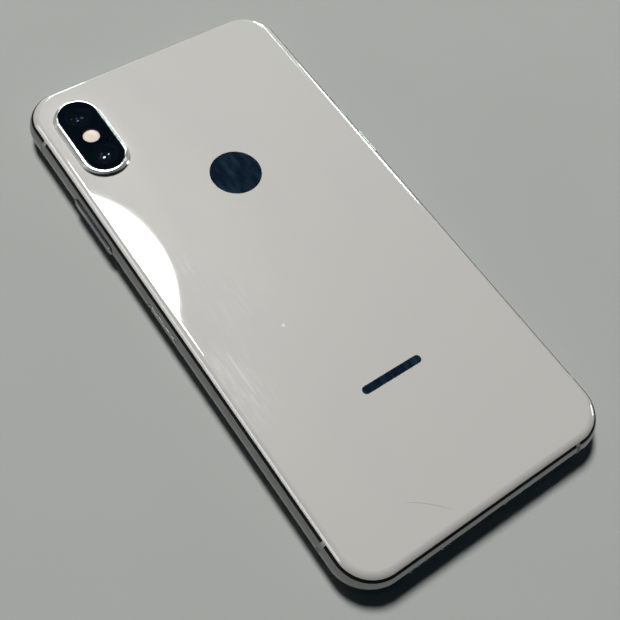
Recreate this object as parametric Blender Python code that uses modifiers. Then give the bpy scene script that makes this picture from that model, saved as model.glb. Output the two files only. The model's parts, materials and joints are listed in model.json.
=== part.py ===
"""Smartphone with a glass back and a polished steel band, lying on its screen.

Run with: blender --background --python part.py

Frame: the origin is on the resting plane under the middle of the phone. +Z points out of the
glass back, +Y to the phone's top end and -X to the long side with the side button and SIM tray.
All sizes below are millimetres, and MM turns them into Blender's metres.
"""

from math import asin, cos, pi, radians, sin, sqrt

import bmesh
import bpy
from mathutils import Matrix, Vector

MM = 0.001

# ---------------------------------------------------------------- driving dimensions
BODY_WIDTH = 70.9
BODY_LENGTH = 143.6
BODY_THICKNESS = 7.7
CORNER_RADIUS = 9.6
EDGE_RUN = 3.0  # how far in from the side the rounded edge reaches the flat glass
MID_Z = BODY_THICKNESS / 2

BOND_GAP = 0.05  # adhesive line between pieces that are bonded or welded
RUN_GAP = 0.1  # clearance round a piece that moves

FRONT_GLASS_TOP = 0.95
GASKET_Z = (1.0, 1.1)
BAND_Z = (1.15, 6.66)
BACK_GLASS_Z = 6.72
BAND_WALL = 2.4
CORNER_STEPS = 10

ANTENNA_BREAK_WIDTH = 1.1
SIDE_BREAK_Y = 57.9
TOP_BREAK_X = -26.4
BOTTOM_BREAK_X = 24.4

BUTTON_PROUD = 0.35
BUTTON_HEIGHT = 3.0
BUTTON_TRAVEL = 0.3
BUTTON_DEPTH = 3.0  # from the side's face to the inner face of a button's flange
BUTTON_FLANGE = 0.5
BUTTON_FLANGE_LENGTH, BUTTON_FLANGE_HEIGHT = 1.0, 0.6  # how far the flange outgrows the cap
SIDE_BUTTON_Y, SIDE_BUTTON_LENGTH = 32.7, 17.6
VOLUME_UP_Y, VOLUME_DOWN_Y, VOLUME_LENGTH = 33.4, 20.4, 10.2
RING_SWITCH_Y, RING_SWITCH_LENGTH = 46.4, 5.6
RING_SWITCH_HEIGHT = 2.2
RING_SWITCH_TRAVEL = 1.6
RING_POCKET_LENGTH, RING_POCKET_HEIGHT, RING_POCKET_DEPTH = 6.0, 4.0, 1.1
RING_STEM_LENGTH, RING_STEM_HEIGHT, RING_STEM_DEPTH = 3.4, 1.6, 3.25

SIM_FACE_Y, SIM_FACE_LENGTH, SIM_FACE_HEIGHT = 2.1, 12.2, 2.6
SIM_EJECT_Y = 7.1
SIM_FRAME_Z = (3.35, 4.35)
SIM_READER_Z = (2.9, 4.9)
SIM_READER_WALL = 0.5
SIM_LEVER_PIVOT = (-19.2, 5.2)

CAMERA_X, CAMERA_Y = -24.45, 53.14
CAMERA_LENS_PITCH = 12.8
CAMERA_RING_WIDTH = 12.0
CAMERA_RING_Z = (6.71, 8.9)
CAMERA_RING_SHOULDER = 0.45
CAMERA_RING_LIP = 1.12  # width of the rim round the window
CAMERA_RING_FOOT = 1.8
CAMERA_WINDOW_Z = (8.25, 8.8)
CAMERA_HOUSING, CAMERA_HOUSING_WALL = 12.2, 0.7
CAMERA_HOUSING_Z, CAMERA_HOUSING_FLOOR = (2.1, 6.05), 2.9
CAMERA_STAGE_Z, CAMERA_STAGE_HEIGHT = 4.4, 2.4
FLASH_RADIUS, FLASH_Z = 2.0, (6.2, 8.15)
REAR_MICROPHONE_AT, REAR_MICROPHONE_RADIUS = (-21.64, 49.87, 0), 0.7

INNER_Z = (2.2, 5.9)  # room for the modules between display and chassis plate
CHASSIS_Z = (6.15, 6.66)
COIL_Z = (6.2, 6.62)
COIL_RADIUS, COIL_HOLE_RADIUS = 24.8, 10.0
COIL_GROOVES = (13.0, 16.0, 19.0, 22.0)
COIL_GROOVE_DEPTH = 0.15

BOARD_THICKNESS = 0.6
MAIN_BOARD_Z = 5.3
RADIO_BOARD_Z = 3.9
SHIELD_WALL = 0.3

PORT_WIDTH, PORT_HEIGHT = 7.6, 2.2
BOTTOM_SCREW_X = 7.2
SOUND_HOLE_X, SOUND_HOLE_PITCH, SOUND_HOLE_RADIUS = 11.2, 2.1, 0.55
SPEAKER_HOLES, MICROPHONE_HOLES = 6, 3
SCREW_HEAD_RADIUS, SCREW_SHANK_RADIUS = 0.75, 0.5
SCREW_HEAD_Y, SCREW_SHOULDER_Y, SCREW_TIP_Y = -71.2, -70.6, -66.9

NOTCH_Y = 66.0
NOTCH_WIDTH = 35.0
EARPIECE_LENGTH, EARPIECE_HEIGHT = 10.6, 1.1

SIDE_CUT = (32, 37)  # reach in x of a cutter through a long side
END_CUT = (-75, -66)  # reach in y of a cutter through the bottom end

# ---------------------------------------------------------------- derived dimensions
HALF_WIDTH = BODY_WIDTH / 2
HALF_LENGTH = BODY_LENGTH / 2
INNER_X = HALF_WIDTH - BAND_WALL
INNER_Y = HALF_LENGTH - BAND_WALL
CAMERA_Y_WIDE = CAMERA_Y + CAMERA_LENS_PITCH / 2
CAMERA_Y_TELE = CAMERA_Y - CAMERA_LENS_PITCH / 2


# ---------------------------------------------------------------- scene and materials
def clear_scene():
    for obj in list(bpy.data.objects):
        bpy.data.objects.remove(obj)


def new_collection(name, hidden=False):
    collection = bpy.data.collections.new(name)
    bpy.context.scene.collection.children.link(collection)
    collection.hide_render = hidden
    return collection


def new_material(name, colour, roughness, metallic=0.0):
    material = bpy.data.materials.new(name)
    material.use_nodes = True
    shader = material.node_tree.nodes["Principled BSDF"]
    shader.inputs["Base Color"].default_value = (*colour, 1.0)
    shader.inputs["Roughness"].default_value = roughness
    shader.inputs["Metallic"].default_value = metallic
    material.diffuse_color = (*colour, 1.0)
    return material


clear_scene()
PARTS = new_collection("smartphone")
CUTTERS = new_collection("cutters", hidden=True)
PHONE = bpy.data.objects.new("phone_frame", None)
PARTS.objects.link(PHONE)

STEEL = new_material("polished_steel", (0.62, 0.62, 0.61), 0.12, 1.0)
SATIN_STEEL = new_material("satin_steel", (0.45, 0.45, 0.46), 0.35, 1.0)
BACK_GLASS = new_material("back_glass", (0.76, 0.75, 0.73), 0.08)
BLACK_GLASS = new_material("black_glass", (0.01, 0.012, 0.02), 0.05)
LENS_GLASS = new_material("lens_glass", (0.03, 0.03, 0.08), 0.05)
ANTENNA_PLASTIC = new_material("antenna_plastic", (0.62, 0.62, 0.60), 0.4)
BLACK_PLASTIC = new_material("black_plastic", (0.02, 0.02, 0.02), 0.5)
SEAL_RUBBER = new_material("seal_rubber", (0.015, 0.015, 0.015), 0.7)
CIRCUIT_BOARD = new_material("circuit_board", (0.02, 0.03, 0.05), 0.45)
COPPER = new_material("copper", (0.75, 0.35, 0.18), 0.3, 1.0)
BATTERY_WRAP = new_material("battery_wrap", (0.03, 0.03, 0.035), 0.55)
FLASH_LENS = new_material("flash_lens", (0.85, 0.74, 0.58), 0.2)
TUNGSTEN = new_material("tungsten", (0.3, 0.3, 0.32), 0.4, 1.0)


# ---------------------------------------------------------------- outlines
def arc(centre, radius, start, end, steps):
    """Points of an arc in degrees, both ends included."""
    turns = [radians(start + (end - start) * i / steps) for i in range(steps + 1)]
    return [(centre[0] + radius * cos(t), centre[1] + radius * sin(t)) for t in turns]


def rounded(width, length, radius, centre=(0, 0), steps=CORNER_STEPS):
    """Anticlockwise outline of a rectangle with round corners."""
    points = []
    for sx, sy, start in ((1, 1, 0), (-1, 1, 90), (-1, -1, 180), (1, -1, 270)):
        corner = (
            centre[0] + sx * (width / 2 - radius),
            centre[1] + sy * (length / 2 - radius),
        )
        points += arc(corner, radius, start, start + 90, steps)
    return points


def box_outline(low, high, radius=0.4, steps=2):
    """Outline from one corner to the other, with small round corners."""
    centre = ((low[0] + high[0]) / 2, (low[1] + high[1]) / 2)
    return rounded(high[0] - low[0], high[1] - low[1], radius, centre, steps)


def slot(width, length, centre=(0, 0), steps=6):
    """Outline of a slot with fully round ends."""
    radius = min(width, length) / 2 - 0.001
    return rounded(width, length, radius, centre, steps)


def circle(radius, centre=(0, 0), steps=24):
    return arc(centre, radius, 0, 360, steps)[:-1]


def body_outline(inset, steps=CORNER_STEPS):
    """The phone's outline, drawn in by a distance all round."""
    return rounded(
        BODY_WIDTH - 2 * inset, BODY_LENGTH - 2 * inset, CORNER_RADIUS - inset, steps=steps
    )


def edge_inset(z):
    """How far the rounded edge lies inside the widest section at a height."""
    rise = (z - MID_Z) / MID_Z
    return EDGE_RUN * (1 - sqrt(max(0.0, 1 - rise * rise)))


def edge_levels(low, high, steps):
    """Heights between two levels, evenly spaced along the rounded edge."""
    first, last = (asin(max(-1, min(1, (z - MID_Z) / MID_Z))) for z in (low, high))
    return [MID_Z + MID_Z * sin(first + (last - first) * i / steps) for i in range(steps + 1)]


# ---------------------------------------------------------------- solids
AXIS_TURN = {
    "Z": Matrix.Identity(4),
    "X": Matrix(((0, 0, 1, 0), (1, 0, 0, 0), (0, 1, 0, 0), (0, 0, 0, 1))),
    "Y": Matrix(((0, 1, 0, 0), (0, 0, 1, 0), (1, 0, 0, 0), (0, 0, 0, 1))),
}


def add_object(name, mesh, material, origin=(0, 0, 0), axis="Z"):
    """A mesh in millimetres becomes a named part. A part with no material is a cutter."""
    mesh.transform(Matrix.Scale(MM, 4))
    obj = bpy.data.objects.new(name, mesh)
    obj.matrix_world = Matrix.Translation(Vector(origin) * MM) @ AXIS_TURN[axis]
    if material is None:
        CUTTERS.objects.link(obj)
        obj.hide_render = True
        obj.display_type = "WIRE"
    else:
        PARTS.objects.link(obj)
        obj.parent = PHONE
        mesh.materials.append(material)
    return obj


def plate(name, outlines, low, high, material=None, origin=(0, 0, 0), axis="Z"):
    """A flat piece between two levels along an axis. The first outline is the edge, and the
    others are holes. Across axis X an outline is (y, z), and across axis Y it is (z, x)."""
    flat = bpy.data.curves.new(name, "CURVE")
    flat.dimensions = "2D"
    flat.fill_mode = "BOTH"
    flat.extrude = (high - low) / 2
    for outline in outlines:
        spline = flat.splines.new("POLY")
        spline.points.add(len(outline) - 1)
        for point, (x, y) in zip(spline.points, outline):
            point.co = (x, y, 0, 1)
        spline.use_cyclic_u = True
    guide = bpy.data.objects.new(name + "_outline", flat)
    bpy.context.scene.collection.objects.link(guide)
    graph = bpy.context.evaluated_depsgraph_get()
    mesh = bpy.data.meshes.new_from_object(guide.evaluated_get(graph))
    bpy.data.objects.remove(guide)
    solid = bmesh.new()
    solid.from_mesh(mesh)
    bmesh.ops.remove_doubles(solid, verts=solid.verts, dist=0.0005)
    bmesh.ops.recalc_face_normals(solid, faces=solid.faces)
    bmesh.ops.translate(solid, verts=solid.verts, vec=(0, 0, (low + high) / 2))
    solid.to_mesh(mesh)
    solid.free()
    mesh.name = name
    return add_object(name, mesh, material, origin, axis)


def loft(name, sections, material=None, ring=False):
    """Skins outlines of equal length, given as (outline, z). A ring closes on its first
    section, and anything else gets a flat cap at each end."""
    solid = bmesh.new()
    rows = [[solid.verts.new((x, y, z)) for x, y in outline] for outline, z in sections]
    pairs = list(zip(rows, rows[1:]))
    if ring:
        pairs.append((rows[-1], rows[0]))
    else:
        solid.faces.new(list(reversed(rows[0])))
        solid.faces.new(rows[-1])
    for lower, upper in pairs:
        for i in range(len(lower)):
            j = (i + 1) % len(lower)
            solid.faces.new((lower[i], lower[j], upper[j], upper[i]))
    bmesh.ops.recalc_face_normals(solid, faces=solid.faces)
    mesh = bpy.data.meshes.new(name)
    solid.to_mesh(mesh)
    solid.free()
    return add_object(name, mesh, material)


def turned(name, profile, material=None, origin=(0, 0, 0), axis="Z", steps=24):
    """A turned piece. Its profile of (radius, height) runs from the axis at the top, down the
    outer side, to the axis at the bottom."""
    mesh = bpy.data.meshes.new(name)
    edges = [(i, i + 1) for i in range(len(profile) - 1)]
    mesh.from_pydata([(r, 0, z) for r, z in profile], edges, [])
    obj = add_object(name, mesh, material, origin, axis)
    screw = obj.modifiers.new("turn", "SCREW")
    screw.axis = "Z"
    screw.steps = steps
    screw.render_steps = steps
    screw.use_merge_vertices = True
    screw.merge_threshold = 0.000001
    return obj


def rod(name, radius, low, high, material=None, origin=(0, 0, 0), axis="Z", steps=12):
    """A plain round bar between two levels along an axis."""
    solid = bmesh.new()
    bmesh.ops.create_cone(
        solid, cap_ends=True, segments=steps, radius1=radius, radius2=radius, depth=high - low
    )
    bmesh.ops.translate(solid, verts=solid.verts, vec=(0, 0, (low + high) / 2))
    mesh = bpy.data.meshes.new(name)
    solid.to_mesh(mesh)
    solid.free()
    return add_object(name, mesh, material, origin, axis)


def combine(obj, other, operation):
    """Boolean with a helper object, which isn't a part itself."""
    boolean = obj.modifiers.new(other.name, "BOOLEAN")
    boolean.operation = operation
    boolean.object = other
    boolean.solver = "EXACT"
    return obj


def cut(obj, *cutters):
    for cutter in cutters:
        combine(obj, cutter, "DIFFERENCE")
    return obj


def join(obj, *pieces):
    for piece in pieces:
        combine(obj, piece, "UNION")
    return obj


def soften(obj, width):
    """Rounds every sharp edge of a piece by a width."""
    edge = obj.modifiers.new("edge", "BEVEL")
    edge.width = width * MM
    edge.segments = 2
    edge.limit_method = "ANGLE"
    edge.angle_limit = radians(60)
    return obj


def block(name, low, high, material=None, radius=0.4):
    """A block between two corners, with its upright edges rounded."""
    return plate(name, [box_outline(low[:2], high[:2], radius)], low[2], high[2], material)


# ---------------------------------------------------------------- display
def build_display():
    """Cover glass with its earpiece slot, the seal, and the display stack behind the glass."""
    levels = edge_levels(0.0, FRONT_GLASS_TOP, 6)
    glass = loft(
        "cover_glass", [(body_outline(edge_inset(z)), z) for z in levels], BLACK_GLASS
    )
    opening = slot(EARPIECE_LENGTH, EARPIECE_HEIGHT, (0, NOTCH_Y))
    cut(glass, plate("earpiece_slot_cutter", [opening], -1, 2))
    clear = 2 * RUN_GAP
    mesh = slot(EARPIECE_LENGTH - clear, EARPIECE_HEIGHT - clear, (0, NOTCH_Y))
    plate("earpiece_mesh", [mesh], 0.15, 0.6, SATIN_STEEL)
    seal_inset = edge_inset(FRONT_GLASS_TOP) + 0.1
    plate(
        "display_gasket",
        [body_outline(seal_inset), body_outline(BAND_WALL)],
        *GASKET_Z,
        SEAL_RUBBER,
    )
    plate("display_frame", [body_outline(2.5), body_outline(3.3)], 1.0, 1.7, BLACK_PLASTIC)
    for name, inset, low, high, material in (
        ("display_panel", 3.4, 1.0, 1.5, BLACK_GLASS),
        ("display_shield_plate", 3.6, 1.55, 1.75, SATIN_STEEL),
    ):
        panel = plate(name, [body_outline(inset)], low, high, material)
        notch = [box_outline((-NOTCH_WIDTH / 2, 62.9), (NOTCH_WIDTH / 2, 75), 2.0, 4)]
        cut(panel, plate(name + "_notch_cutter", notch, 0, 3))


def build_front_sensors():
    """Earpiece and the face-sensing cameras that sit in the display's notch."""
    block("earpiece_speaker", (-6.5, 63.4, 1.0), (6.5, 68.2, 4.0), BLACK_PLASTIC, 0.6)
    for name, x, lens in (
        ("front_camera", -10.0, 1.1),
        ("infrared_camera", 13.4, 1.3),
        ("dot_projector", -15.2, 0.8),
    ):
        barrel = [(0, 4.0), (2.1, 4.0), (2.1, 1.4), (1.7, 1.0), (lens, 1.0), (lens, 1.4)]
        turned(name, [*barrel, (0, 1.4)], SATIN_STEEL, (x, NOTCH_Y, 0))
    plate(
        "sensor_bracket",
        [box_outline((-18, 63.2), (18, 68.4), 1.0)],
        4.1,
        4.4,
        SATIN_STEEL,
    )


# ---------------------------------------------------------------- band
def band_ring(name, material):
    """The whole band as one ring, which each segment and antenna break is cut from."""
    outer = [(body_outline(edge_inset(z)), z) for z in edge_levels(*BAND_Z, 10)]
    inner = [(body_outline(BAND_WALL), z) for z in reversed(BAND_Z)]
    return loft(name, outer + inner, material, ring=True)


def band_piece(name, low, high, material):
    """The stretch of the band inside a box given by two corners in plan."""
    piece = band_ring(name, material)
    region = [(low[0], low[1]), (high[0], low[1]), (high[0], high[1]), (low[0], high[1])]
    combine(piece, plate(name + "_region", [region], 0, 8), "INTERSECT")
    return piece


def side_cutter(name, outline, low, high):
    """A cutter that runs through a long side, with its outline in (y, z)."""
    return plate(name, [outline], low, high, axis="X")


def bottom_hole(name, x, radius, low, high):
    """A round cutter along Y through the bottom of the band."""
    return rod(name, radius, low, high, origin=(x, 0, MID_Z), axis="Y")


def button_slot(name, y, length, side):
    outline = slot(length + 2 * RUN_GAP, BUTTON_HEIGHT + 2 * RUN_GAP, (y, MID_Z))
    return side_cutter(name, outline, *sorted(side * x for x in SIDE_CUT))


def build_band():
    """Six steel segments, parted by six plastic antenna breaks."""
    far = 90
    half = ANTENNA_BREAK_WIDTH / 2
    clear = half + BOND_GAP
    side_end = SIDE_BREAK_Y - clear
    end_start = SIDE_BREAK_Y + clear
    side_middle = 20
    left = band_piece(
        "band_left_rail", (-far, -side_end), (-side_middle, side_end), STEEL
    )
    right = band_piece(
        "band_right_rail", (side_middle, -side_end), (far, side_end), STEEL
    )
    band_piece("band_top", (TOP_BREAK_X + clear, end_start), (far, far), STEEL)
    band_piece(
        "band_corner_top_left", (-far, end_start), (TOP_BREAK_X - clear, far), STEEL
    )
    bottom = band_piece(
        "band_bottom", (-far, -far), (BOTTOM_BREAK_X - clear, -end_start), STEEL
    )
    band_piece(
        "band_corner_bottom_right", (BOTTOM_BREAK_X + clear, -far), (far, -end_start), STEEL
    )
    for side, sx in (("left", -1), ("right", 1)):
        for end, sy in (("top", 1), ("bottom", -1)):
            xs = sorted((sx * side_middle, sx * far))
            ys = sorted((sy * (SIDE_BREAK_Y - half), sy * (SIDE_BREAK_Y + half)))
            band_piece(
                f"antenna_break_{side}_{end}", (xs[0], ys[0]), (xs[1], ys[1]), ANTENNA_PLASTIC
            )
    for end, x, low, high in (
        ("top", TOP_BREAK_X, end_start, far),
        ("bottom", BOTTOM_BREAK_X, -far, -end_start),
    ):
        band_piece(f"antenna_break_{end}_edge", (x - half, low), (x + half, high), ANTENNA_PLASTIC)
    cut(
        left,
        button_slot("side_button_slot", SIDE_BUTTON_Y, SIDE_BUTTON_LENGTH, -1),
        side_cutter(
            "sim_slot",
            slot(SIM_FACE_LENGTH + 2 * RUN_GAP, SIM_FACE_HEIGHT + 2 * RUN_GAP, (SIM_FACE_Y, MID_Z)),
            -SIDE_CUT[1],
            -SIDE_CUT[0],
        ),
    )
    pocket = (RING_POCKET_LENGTH, RING_POCKET_HEIGHT)
    hole = (RING_STEM_LENGTH + 4 * RUN_GAP, RING_STEM_HEIGHT + RING_SWITCH_TRAVEL + 2 * RUN_GAP)
    cut(
        right,
        button_slot("volume_up_slot", VOLUME_UP_Y, VOLUME_LENGTH, 1),
        button_slot("volume_down_slot", VOLUME_DOWN_Y, VOLUME_LENGTH, 1),
        side_cutter(
            "ring_switch_pocket",
            rounded(*pocket, 1.25, (RING_SWITCH_Y, MID_Z), 6),
            HALF_WIDTH - RING_POCKET_DEPTH,
            SIDE_CUT[1],
        ),
        side_cutter(
            "ring_switch_slot",
            rounded(*hole, 0.4, (RING_SWITCH_Y, MID_Z), 2),
            *SIDE_CUT,
        ),
    )
    cut_bottom_openings(bottom)


def cut_bottom_openings(bottom):
    """Charging opening, the two bottom screws' holes, and the rows of sound holes."""
    mouth = slot(PORT_HEIGHT, PORT_WIDTH, (MID_Z, 0))
    cut(bottom, plate("port_cutter", [mouth], *END_CUT, axis="Y"))
    for side, sx in (("left", -1), ("right", 1)):
        x = sx * BOTTOM_SCREW_X
        cut(
            bottom,
            bottom_hole(
                f"screw_head_hole_{side}",
                x,
                SCREW_HEAD_RADIUS + RUN_GAP,
                END_CUT[0],
                SCREW_SHOULDER_Y + RUN_GAP,
            ),
            bottom_hole(f"screw_shank_hole_{side}", x, SCREW_SHANK_RADIUS + RUN_GAP, *END_CUT),
        )
    for sx, count in ((-1, SPEAKER_HOLES), (1, MICROPHONE_HOLES)):
        for i in range(count):
            x = sx * (SOUND_HOLE_X + i * SOUND_HOLE_PITCH)
            name = f"sound_hole_{'left' if sx < 0 else 'right'}_{i}"
            cut(bottom, bottom_hole(name, x, SOUND_HOLE_RADIUS, *END_CUT))


def build_bottom_screws():
    """The two screws that hold the display down, each in its stepped hole."""
    profile = [(0, SCREW_TIP_Y), (SCREW_SHANK_RADIUS, SCREW_TIP_Y)]
    profile += [(SCREW_SHANK_RADIUS, SCREW_SHOULDER_Y), (SCREW_HEAD_RADIUS, SCREW_SHOULDER_Y)]
    profile += [(SCREW_HEAD_RADIUS, SCREW_HEAD_Y), (0.3, SCREW_HEAD_Y)]
    profile += [(0.3, SCREW_HEAD_Y + 0.3), (0, SCREW_HEAD_Y + 0.3)]
    for side, sx in (("left", -1), ("right", 1)):
        turned(
            f"bottom_screw_{side}",
            profile,
            SATIN_STEEL,
            (sx * BOTTOM_SCREW_X, 0, MID_Z),
            "Y",
            steps=16,
        )


# ---------------------------------------------------------------- back
def camera_slot(width, steps=8):
    """Outline of the camera bump for a width, with its round ends centred on the lenses."""
    return slot(width, width + CAMERA_LENS_PITCH, (CAMERA_X, CAMERA_Y), steps)


def build_back():
    """Glass back on its steel chassis plate, which holds the charging coil."""
    levels = edge_levels(BACK_GLASS_Z, BODY_THICKNESS, 7)
    glass = loft("back_glass", [(body_outline(edge_inset(z)), z) for z in levels], BACK_GLASS)
    hole = camera_slot(CAMERA_RING_WIDTH + 2 * BOND_GAP)
    cut(glass, plate("back_camera_hole", [hole], 5, 10))
    plate(
        "chassis_plate",
        [
            body_outline(BAND_WALL + BOND_GAP, 6),
            camera_slot(10.0),
            circle(COIL_RADIUS + 0.4, steps=36),
        ],
        *CHASSIS_Z,
        SATIN_STEEL,
    )
    rings = [circle(COIL_RADIUS, steps=36), circle(COIL_HOLE_RADIUS, steps=36)]
    coil = plate("charging_coil", rings, *COIL_Z, COPPER)
    for radius in COIL_GROOVES:
        groove = [circle(radius + 0.3, steps=36), circle(radius, steps=36)]
        floor = COIL_Z[1] - COIL_GROOVE_DEPTH
        cut(coil, plate(f"coil_groove_{radius:.0f}", groove, floor, COIL_Z[1] + 1))


# ---------------------------------------------------------------- rear cameras
def build_camera_bump():
    """Raised steel ring with its black window."""
    bottom, top = CAMERA_RING_Z
    ledge = CAMERA_WINDOW_Z[0] - BOND_GAP
    radius = CAMERA_RING_SHOULDER
    profile = [(0.0, bottom), (0.0, top - radius)]
    profile += [(radius - x, top - radius + y) for x, y in arc((0, 0), radius, 22.5, 90, 3)]
    profile += [(CAMERA_RING_LIP - 0.12, top), (CAMERA_RING_LIP, top - 0.1)]
    profile += [(CAMERA_RING_LIP, ledge), (CAMERA_RING_FOOT, ledge), (CAMERA_RING_FOOT, bottom)]
    sections = [(camera_slot(CAMERA_RING_WIDTH - 2 * inset), z) for inset, z in profile]
    loft("camera_ring", sections, STEEL, ring=True)
    window = camera_slot(CAMERA_RING_WIDTH - 2 * (CAMERA_RING_LIP + BOND_GAP))
    plate("camera_window", [window], *CAMERA_WINDOW_Z, BLACK_GLASS)


def build_camera(label, y):
    """One rear camera: a housing, two stabiliser stages that shift sideways, and the lens
    barrel that focuses along Z."""
    centre = (CAMERA_X, y)
    place = (*centre, CAMERA_STAGE_Z)
    half = CAMERA_STAGE_HEIGHT / 2
    housing = plate(
        f"{label}_camera_housing",
        [rounded(CAMERA_HOUSING, CAMERA_HOUSING, 0.8, centre, 3)],
        *CAMERA_HOUSING_Z,
        SATIN_STEEL,
    )
    room = CAMERA_HOUSING - 2 * CAMERA_HOUSING_WALL
    cavity = [rounded(room, room, 0.3, centre, 2)]
    cut(housing, plate(f"{label}_housing_cavity", cavity, CAMERA_HOUSING_FLOOR, 7))
    plate(
        f"{label}_shift_frame",
        [rounded(10.4, 10.7, 0.3, (0, 0), 2), rounded(8.9, 8.9, 0.3, (0, 0), 2)],
        -half,
        half,
        BLACK_PLASTIC,
        place,
    )
    plate(
        f"{label}_lens_carrier",
        [rounded(8.8, 8.5, 0.4, (0, 0), 2), circle(3.5)],
        -half,
        half,
        BLACK_PLASTIC,
        place,
    )
    barrel = [(0, 7.4), (1.5, 7.4), (2.2, 7.8), (2.9, 7.8), (2.9, 5.8), (3.4, 5.7), (3.4, 3.3)]
    profile = [(r, z - CAMERA_STAGE_Z) for r, z in [*barrel, (0, 3.3)]]
    turned(f"{label}_lens", profile, LENS_GLASS, place)


def build_rear_cameras():
    build_camera_bump()
    build_camera("wide", CAMERA_Y_WIDE)
    build_camera("tele", CAMERA_Y_TELE)
    bottom, top = FLASH_Z
    flash = [(0, top), (FLASH_RADIUS - 0.6, top - 0.05), (FLASH_RADIUS, top - 0.35)]
    flash += [(FLASH_RADIUS, bottom), (0, bottom)]
    turned("flash_unit", flash, FLASH_LENS, (CAMERA_X, CAMERA_Y, 0), steps=20)
    rod("rear_microphone", REAR_MICROPHONE_RADIUS, *FLASH_Z, SATIN_STEEL, REAR_MICROPHONE_AT)
    block("camera_bracket", (-30.6, 40.6, 1.8), (-18.3, 65.7, 2.05), SATIN_STEEL, 1.0)


# ---------------------------------------------------------------- boards and battery
def build_boards():
    """Main board with chips, a second board stacked on a spacer, and a shield can."""
    top = MAIN_BOARD_Z + BOARD_THICKNESS
    board = block(
        "logic_board_main", (-30.6, -12.0, MAIN_BOARD_Z), (-9.0, 36.0, top), CIRCUIT_BOARD, 1.0
    )
    for i, (x, y, width, length, height) in enumerate(
        (
            (-26.5, -8.5, 6.0, 4.6, 0.9),
            (-20.2, -8.6, 3.6, 3.6, 0.7),
            (-13.0, -7.6, 5.2, 6.4, 1.0),
            (-13.0, 0.4, 5.2, 5.2, 0.8),
            (-13.2, 6.6, 4.2, 3.4, 0.6),
        )
    ):
        low = (x - width / 2, y - length / 2, MAIN_BOARD_Z - height)
        high = (x + width / 2, y + length / 2, MAIN_BOARD_Z + 0.2)
        join(board, block(f"board_chip_{i}", low, high, radius=0.2))
    low, high = (-30.2, 11.0), (-10.0, 36.0)
    inner = box_outline((low[0] + 1.3, low[1] + 1.3), (high[0] - 1.3, high[1] - 1.3))
    radio_top = RADIO_BOARD_Z + BOARD_THICKNESS + BOND_GAP
    plate(
        "logic_board_spacer",
        [box_outline(low, high, 1.0), inner],
        radio_top + BOND_GAP,
        MAIN_BOARD_Z - BOND_GAP,
        CIRCUIT_BOARD,
    )
    block("logic_board_radio", (*low, RADIO_BOARD_Z), (*high, radio_top), CIRCUIT_BOARD, 1.0)
    can = [(low[0] + 0.4, low[1] + 0.4), (high[0] - 0.4, high[1] - 0.4)]
    inside = [(can[0][0] + SHIELD_WALL, can[0][1] + SHIELD_WALL)]
    inside += [(can[1][0] - SHIELD_WALL, can[1][1] - SHIELD_WALL)]
    shield = block(
        "board_shield",
        (*can[0], INNER_Z[0]),
        (*can[1], RADIO_BOARD_Z - BOND_GAP),
        SATIN_STEEL,
        0.6,
    )
    floor = INNER_Z[0] + SHIELD_WALL
    cut(shield, block("board_shield_inside", (*inside[0], floor), (*inside[1], 5.0)))


def build_battery():
    """L-shaped cell: a tall limb beside the boards and a foot below them."""
    outline = [(-31, -44), (31, -44), (31, 46), (-7.8, 46), (-7.8, -14), (-31, -14)]
    soften(plate("battery", [outline], *INNER_Z, BATTERY_WRAP), 0.5)


# ---------------------------------------------------------------- SIM tray
def build_sim_tray():
    """Tray whose face lies flush in the left rail, with the card's frame behind it."""
    origin = (-HALF_WIDTH, SIM_FACE_Y, MID_Z)
    face_outline = slot(SIM_FACE_LENGTH, SIM_FACE_HEIGHT)
    tray = plate("sim_tray", [face_outline], -1.0, 1.25, STEEL, origin, "X")
    levels = edge_levels(*BAND_Z, 10)
    envelope = loft("tray_envelope", [(body_outline(edge_inset(z)), z) for z in levels])
    combine(tray, envelope, "INTERSECT")
    low, high = SIM_FRAME_Z
    join(tray, block("sim_frame", (-34.3, -3.7, low), (-20.9, 6.1, high)))
    cut(
        tray,
        block("sim_card_through", (-33.3, -2.7, 2.0), (-21.9, 5.2, 6.0)),
        block("sim_card_recess", (-33.8, -3.2, 3.68), (-21.4, 5.7, 6.0)),
        rod("sim_pin_hole", 0.45, -SIDE_CUT[1], -33, origin=(0, SIM_EJECT_Y, MID_Z), axis="X"),
    )


def build_sim_reader():
    """Reader that the tray slides into, with the rod and lever that push the tray out."""
    low, high = (-32.9, -4.6), (-17.0, 8.7)
    floor = SIM_READER_Z[1] - 0.4
    wall = SIM_READER_WALL
    reader = plate("sim_reader", [box_outline(low, high)], *SIM_READER_Z, SATIN_STEEL)
    inside = box_outline((low[0] - 5, low[1] + wall), (high[0] - wall, high[1] - wall), 0.2)
    pivot = SIM_LEVER_PIVOT
    cut(reader, plate("sim_reader_inside", [inside], 2.0, floor))
    join(reader, rod("sim_lever_pin", 0.45, 3.3, floor + 0.2, origin=(*pivot, 0)))
    tip = [(0, 13.85), (0.3, 13.75), (0.5, 13.35), (0.5, 0), (0, 0)]
    turned(
        "sim_eject_rod", tip, SATIN_STEEL, (-33.9, SIM_EJECT_Y, MID_Z), "X", steps=12
    )
    bar = box_outline((-0.6, -3.2), (0.6, 2.6), 0.3)
    plate(
        "sim_eject_lever",
        [bar, circle(0.55, steps=12)],
        -0.45,
        0.45,
        SATIN_STEEL,
        (*pivot, MID_Z),
    )


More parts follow.
